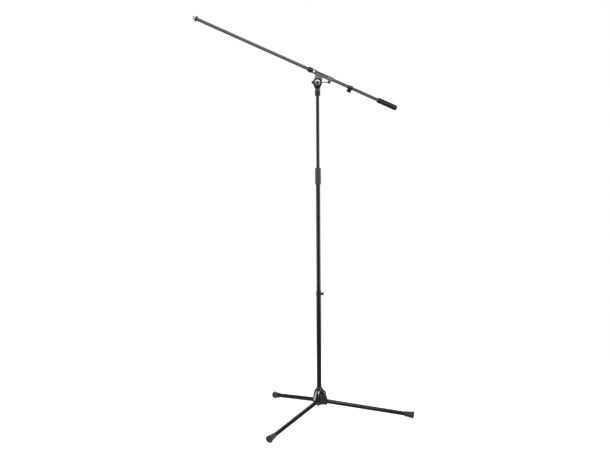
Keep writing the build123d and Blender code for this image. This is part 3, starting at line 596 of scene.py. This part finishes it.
finishes = {
    "black_tube": finish(
        "black_tube",
        grey(0.007, -0.04),
        grey(0.011, -0.05),
        (0.17, 0.27),
        ((900, 0.012 * mm, even), (2400, 0.004 * mm, drawn_lines)),
        worn=grey(0.2),
        scratches=0.6,
        ior=1.55,
    ),
    "black_casting": finish(
        "black_casting",
        grey(0.004),
        grey(0.008),
        (0.12, 0.22),
        ((420, 0.05 * mm, even), (1600, 0.01 * mm, even)),
        worn=grey(0.2),
        ior=1.75,
        coat=1.0,
    ),
    "black_weight": finish(
        "black_weight",
        grey(0.008),
        grey(0.013),
        (0.26, 0.4),
        ((520, 0.04 * mm, even), (1900, 0.008 * mm, even)),
        worn=grey(0.18),
        scratches=0.5,
    ),
    "plated_steel": finish(
        "plated_steel",
        grey(0.56, 0.02),
        grey(0.46),
        (0.2, 0.38),
        ((2200, 0.006 * mm, turned_lines), (700, 0.006 * mm, even)),
        metallic=1.0,
        scratches=0.6,
    ),
    "bright_zinc": finish(
        "bright_zinc",
        grey(0.82),
        grey(0.72, 0.015),
        (0.1, 0.24),
        ((2600, 0.004 * mm, turned_lines), (600, 0.005 * mm, even)),
        metallic=1.0,
        scratches=0.3,
    ),
    "brass_pad": finish(
        "brass_pad",
        (0.7, 0.46, 0.16, 1),
        (0.5, 0.31, 0.1, 1),
        (0.28, 0.45),
        ((2000, 0.006 * mm, turned_lines), (800, 0.01 * mm, even)),
        metallic=1.0,
    ),
    "grip_plastic": finish(
        "grip_plastic",
        grey(0.04, -0.04),
        grey(0.052, -0.04),
        (0.42, 0.56),
        ((1500, 0.03 * mm, even), (500, 0.02 * mm, even)),
        worn=grey(0.09),
        worn_metal=0.0,
        sheen=0.1,
    ),
    "black_plastic": finish(
        "black_plastic",
        grey(0.008),
        grey(0.013),
        (0.3, 0.44),
        ((1700, 0.02 * mm, even), (450, 0.02 * mm, even)),
        worn=grey(0.09),
        worn_metal=0.0,
    ),
    "foot_rubber": finish(
        "foot_rubber",
        grey(0.024),
        grey(0.04),
        (0.62, 0.82),
        ((1100, 0.05 * mm, even), (260, 0.06 * mm, even)),
        worn=grey(0.1, 0.04),
        worn_metal=0.0,
        sheen=0.25,
    ),
}

# The boom's guide is satin black paint, less glossy than the bell. Its lighter grey colour is painted sheen: it
# stands in for the soft box light its flat faces reflect.
guide_painted_sheen = finish(
    "guide_painted_sheen",
    grey(0.18, -0.03),
    grey(0.22, -0.03),
    (0.38, 0.52),
    ((520, 0.04 * mm, even), (1800, 0.012 * mm, even)),
    worn=grey(0.34),
)
# The boom's tube is the same black paint as the mast's, coloured a satin grey. That grey is painted sheen: it
# stands in for the gloss highlight along the tube.
boom_painted_sheen = finish(
    "boom_painted_sheen",
    grey(0.075, -0.04),
    grey(0.1, -0.05),
    (0.3, 0.42),
    ((900, 0.01 * mm, even), (2400, 0.005 * mm, drawn_lines)),
    worn=grey(0.3),
    scratches=0.8,
)
# Blackened steel: the hinge pins, the lock ring, and the pivot screw's cross bar and hub.
dark_steel = finish(
    "dark_steel",
    grey(0.16),
    grey(0.11, 0.02),
    (0.26, 0.42),
    ((2200, 0.006 * mm, drawn_lines), (700, 0.006 * mm, even)),
    metallic=1.0,
    worn=grey(0.5),
    scratches=0.4,
)
# The screw heads at the pivot and in the guide's knob are matt, so they catch light from any side.
matt_steel = finish(
    "matt_steel",
    grey(0.86),
    grey(0.78),
    (0.46, 0.6),
    ((2200, 0.01 * mm, turned_lines), (900, 0.01 * mm, even)),
    metallic=1.0,
)


# =============================== the stand ===============================


def fluted(flutes, core):
    """Shape of a knob with round flutes, blended so that their edges aren't sharp."""
    count, distance, radius = flutes

    def shape(angle, height, reach):
        if reach < core:
            return reach
        off = (angle + pi / count) % (tau / count) - pi / count
        span = radius**2 - (distance * sin(off)) ** 2
        if span <= 0:
            return reach
        inner = distance * cos(off) - sqrt(span)
        blend = max(flute_blend - abs(reach - inner), 0) / flute_blend
        return min(reach, inner) - blend**2 * flute_blend / 4

    return shape


def ribbed(count, depth, core, low, high):
    """Shape of a grip with fine ribs between two heights, fading out at both ends."""

    def shape(angle, height, reach):
        if reach < core:
            return reach
        inside = min(height - low, high - height) / rib_fade
        amount = min(max(inside, 0), 1)
        groove = 0.5 + 0.5 * cos(count * angle)
        return reach - depth * amount * groove**3

    return shape


def threaded(core, low, high):
    """Shape of a screw thread between two heights: V grooves that run round as a helix."""

    def shape(angle, height, reach):
        if reach < core:
            return reach
        run_out = min(max(min(height - low, high - height) / thread_pitch, 0), 1)
        turn = (height / thread_pitch - angle / tau) % 1
        return reach - thread_depth * run_out * abs(2 * turn - 1)

    return shape


def reach_of(node, place):
    """Lowest height, highest height and largest radius of a CAD node in a local frame."""
    inverse = place.inverted()
    points = [inverse @ vertex.co for vertex in frame["nodes"][node].data.vertices]
    heights = [point.z for point in points]
    return min(heights), max(heights), max(hypot(point.x, point.y) for point in points)


def make_base():
    cast("base_bell", bell_grain)
    screw_place = joint_place("base_knob_turn", up)
    radius = reach_of("base_knob", screw_place)[2]
    turned(
        "base_knob",
        screw_place,
        edge=1.2 * mm,
        steps=192,
        shape=fluted(base_flutes, base_knob_core * radius),
        row=1 * mm,
    )
    turned("base_knob_screw", screw_place, edge=1.1 * mm)


def make_leg(side):
    place = leg_place(side)
    turned(f"leg_{side}_knuckle", place, edge=0.6 * mm)
    turned(f"leg_{side}_tube", place, edge=0.4 * mm)
    low, high, radius = reach_of(f"leg_{side}_foot", place)

    def foot_shape(angle, height, reach):
        """Grip rings round the foot's neck."""
        if reach < foot_core * radius:
            return reach
        rings = (height - low - foot_rib_start) / foot_rib_pitch
        if 0 < rings < foot_ribs and height < high - foot_plain_end:
            reach -= foot_rib_depth * max(cos(tau * (rings - 0.5)), 0) ** 4
        return reach

    foot = turned(
        f"leg_{side}_foot",
        place,
        edge=foot_edge,
        steps=128,
        shape=foot_shape,
        row=0.5 * mm,
    )
    for vertex in foot.data.vertices:
        vertex.co.z = max(vertex.co.z, 0)


def make_leg_pins():
    """The three hinge pins, with slightly domed ends flush with the lobes."""
    mesh = bmesh.new()
    wear = mesh.verts.layers.float.new("wear")
    for side in sides:
        place = joint_place(f"leg_{side}_fold", up)
        inverse = place.inverted()
        local = [inverse @ vertex.co for vertex in frame["nodes"]["leg_pins"].data.vertices]
        local = [point for point in local if hypot(point.x, point.y) < pin_reach]
        half = max(abs(point.z) for point in local)
        radius = max(hypot(point.x, point.y) for point in local)
        profile = ((-half, 0), (-half, radius), (half, radius), (half, 0))
        outline = [Vector(point) for point in profile]
        first = len(mesh.verts)
        lathe(mesh, wear, rounded(outline, edge=0.5 * mm), steps=48)
        mesh.verts.ensure_lookup_table()
        bmesh.ops.transform(mesh, matrix=place, verts=mesh.verts[first:])
    bmesh.ops.recalc_face_normals(mesh, faces=mesh.faces)
    data = bpy.data.meshes.new("leg_pins_surface")
    mesh.to_mesh(data)
    mesh.free()
    piece("leg_pins_detail", data, Matrix.Identity(4), ["leg_pins"], dark_steel)


def make_mast():
    turned("lower_tube", mast_place, edge=0.3 * mm)
    turned("middle_tube", mast_place, edge=0.3 * mm)
    turned("upper_rod", mast_place, edge=0.4 * mm)
    cast("mid_clamp_collar", small_grain, passes=5)
    screw_place = joint_place("mid_knob_turn", up)
    radius = reach_of("mid_knob", screw_place)[2]
    turned(
        "mid_knob",
        screw_place,
        edge=0.9 * mm,
        steps=160,
        shape=fluted(mid_flutes, mid_knob_core * radius),
        row=1 * mm,
    )
    turned("mid_knob_screw", screw_place, edge=0.4 * mm)
    low, high, radius = reach_of("clutch_grip", mast_place)
    low, high = low + grip_rib_inset, high - grip_rib_inset
    turned(
        "clutch_grip",
        mast_place,
        edge=0.8 * mm,
        steps=360,
        shape=ribbed(grip_ribs, grip_rib_depth, grip_core * radius, low, high),
        row=1 * mm,
    )


def make_head():
    turned("lock_sleeve", mast_place, edge=0.8 * mm, steps=192)
    low, high, radius = reach_of("lock_ring", mast_place)
    low, high = low - lock_ring_overrun, high + lock_ring_overrun
    turned(
        "lock_ring",
        mast_place,
        edge=0.5 * mm,
        steps=384,
        shape=ribbed(ring_knurls, ring_knurl_depth, lock_ring_core * radius, low, high),
        row=1 * mm,
        material=dark_steel,
    )
    turned("pan_washer", mast_place, edge=0.35 * mm)
    cast("swivel_fork", head_grain)
    turned("pivot_washers", pivot_place, edge=0.2 * mm)
    low, high, radius = reach_of("pivot_nut", pivot_place)
    flat = radius * cos(pi / 6)
    inverse = pivot_place.inverted()
    corners = [inverse @ vertex.co for vertex in frame["nodes"]["pivot_nut"].data.vertices]
    corner = max(corners, key=lambda point: hypot(point.x, point.y))
    start = atan2(corner.y, corner.x)

    def nut_shape(angle, height, reach):
        """Six flats, chamfered to a cone at both ends."""
        if reach < nut_core * radius:
            return reach
        off = (angle - start) % (pi / 3) - pi / 6
        cone = flat + nut_chamfer + nut_chamfer_slope * min(height - low, high - height)
        return min(flat / cos(off), cone)

    turned("pivot_nut", pivot_place, edge=0.3 * mm, steps=192, shape=nut_shape, row=0.35 * mm)
    screw = cast("t_screw", small_grain, passes=6, place=pivot_place, material=matt_steel)
    screw.data.materials.append(dark_steel)
    for polygon in screw.data.polygons:
        on_hub = hypot(polygon.center.x, polygon.center.y) < hub_radius
        polygon.material_index = int(on_hub)
    turned("t_bar", bar_place, edge=0.5 * mm, material=dark_steel)
    turned("t_bar_caps", bar_place, edge=0.6 * mm)


def make_guide():
    # The guide's lighter grey colour is painted sheen, not the paint's own colour.
    cast("boom_guide", head_grain, material=guide_painted_sheen)
    turned("guide_front_collar", boom_place, edge=0.8 * mm)
    turned("guide_liner", boom_place, edge=0.3 * mm)
    screw_place = joint_place("guide_knob_turn", up)
    radius = reach_of("guide_knob", screw_place)[2]
    turned(
        "guide_knob",
        screw_place,
        edge=1 * mm,
        steps=240,
        shape=fluted(guide_flutes, guide_knob_core * radius),
        row=1 * mm,
    )
    turned("guide_knob_screw", screw_place, edge=0.7 * mm, material=matt_steel)


def make_boom():
    # The boom tube's grey colour is painted sheen on black paint.
    turned("boom_tube", boom_place, edge=0.3 * mm, material=boom_painted_sheen)
    low, high, radius = reach_of("tip_stud", boom_place)
    thread_high = low + thread_length
    turned(
        "tip_stud",
        boom_place,
        edge=0.4 * mm,
        shape=threaded(thread_core * radius, low + thread_start, thread_high),
        row=thread_row,
        zone=(low, thread_high),
    )
    low, high, radius = reach_of("tip_ring", boom_place)
    low, high = low + tip_ring_inset, high - tip_ring_inset
    turned(
        "tip_ring",
        boom_place,
        edge=0.5 * mm,
        steps=384,
        shape=ribbed(ring_knurls, ring_knurl_depth, tip_ring_core * radius, low, high),
        row=0.8 * mm,
    )
    cast("cable_clip", small_grain, passes=5)
    turned("counterweight", boom_place, edge=0.8 * mm, steps=128)
    cast("counterweight_screw", tiny_grain, passes=4)


def finish_inner_pieces():
    """The pieces inside keep their CAD shape and get the finish of their slot."""
    for name, node in frame["nodes"].items():
        if node.hide_render:
            continue
        node.data.materials.clear()
        node.data.materials.append(finishes[slot_of_node[name]])


make_base()
for leg_side in sides:
    make_leg(leg_side)
make_leg_pins()
make_mast()
make_head()
make_guide()
make_boom()
finish_inner_pieces()


# ================================ studio ================================


def make_floor():
    """A plain pale disc that fades out into the white background."""
    mesh = bmesh.new()
    bmesh.ops.create_circle(mesh, cap_ends=True, radius=floor_radius, segments=floor_steps)
    data = bpy.data.meshes.new("floor")
    mesh.to_mesh(data)
    mesh.free()
    floor = bpy.data.objects.new("floor", data)
    bpy.context.scene.collection.objects.link(floor)
    paper = bpy.data.materials.new("pale_floor")
    paper.use_nodes = True
    tree = paper.node_tree
    shader = tree.nodes["Principled BSDF"]
    shader.inputs["Roughness"].default_value = floor_roughness
    shader.inputs["Specular IOR Level"].default_value = floor_specular
    seen = tree.nodes.new("ShaderNodeLightPath").outputs["Is Camera Ray"]
    pale = blended(tree, seen, grey(floor_bounce), grey(floor_white))
    tree.links.new(pale, shader.inputs["Base Color"])
    shader.inputs["Emission Color"].default_value = (1, 1, 1, 1)
    tree.links.new(product(tree, seen, floor_lift), shader.inputs["Emission Strength"])
    spot = tree.nodes.new("ShaderNodeTexCoord").outputs["Object"]
    distance = add(tree, "ShaderNodeVectorMath", {0: spot}, operation="LENGTH").outputs["Value"]
    fade = ranged(tree, distance, floor_clear, floor_faded)
    clear = tree.nodes.new("ShaderNodeBsdfTransparent").outputs[0]
    out = tree.nodes["Material Output"]
    both = add(tree, "ShaderNodeMixShader", {0: fade, 1: shader.outputs[0], 2: clear})
    tree.links.new(both.outputs[0], out.inputs["Surface"])
    data.materials.append(paper)


def make_background():
    """White to look at, and a weaker fill light on the stand."""
    world = bpy.data.worlds.new("studio")
    world.use_nodes = True
    tree = world.node_tree
    back = tree.nodes["Background"]
    back.inputs["Color"].default_value = (1, 1, 1, 1)
    seen = tree.nodes.new("ShaderNodeLightPath").outputs["Is Camera Ray"]
    tree.links.new(ranged(tree, seen, 0, 1, fill_strength, 1.0), back.inputs["Strength"])
    bpy.context.scene.world = world


def make_light(name, place, target, size, strength):
    """A soft box: a rectangle of even brightness that faces its target."""
    lamp = bpy.data.lights.new(name, "AREA")
    lamp.shape = "RECTANGLE"
    lamp.size, lamp.size_y = size
    lamp.energy = strength * pi * size[0] * size[1]
    made = bpy.data.objects.new(name, lamp)
    bpy.context.scene.collection.objects.link(made)
    made.location = place
    made.rotation_mode = "QUATERNION"
    made.rotation_quaternion = (target - place).to_track_quat("-Z", "Y")
    made.visible_camera = False


def make_camera():
    lens = bpy.data.cameras.new("camera")
    lens.lens = camera_lens
    lens.sensor_width = camera_sensor
    lens.clip_end = camera_reach
    camera = bpy.data.objects.new("camera", lens)
    bpy.context.scene.collection.objects.link(camera)
    level = Matrix.Rotation(pi / 2 - camera_down, 4, "X")
    turn = Matrix.Rotation(camera_left, 4, "Z")
    roll = Matrix.Rotation(camera_roll, 4, "Z")
    camera.matrix_world = Matrix.Translation(camera_place) @ turn @ level @ roll
    bpy.context.scene.camera = camera


make_floor()
make_background()
middle = Vector((0, 0, (cad_low.z + cad_high.z) / 2))
aside, ahead = side_light_place
half_tall = side_light_size[1] / 2
for sign, light_name in ((1, "light_right"), (-1, "light_left")):
    make_light(
        light_name,
        Vector((sign * aside, ahead, half_tall)),
        Vector((0, ahead, half_tall)),
        side_light_size,
        side_light_strength,
    )
make_light("light_front", front_light_place, middle, front_light_size, front_light_strength)
make_light("light_back", back_light_place, middle, back_light_size, back_light_strength)
make_camera()
bpy.context.scene.view_settings.view_transform = "Standard"
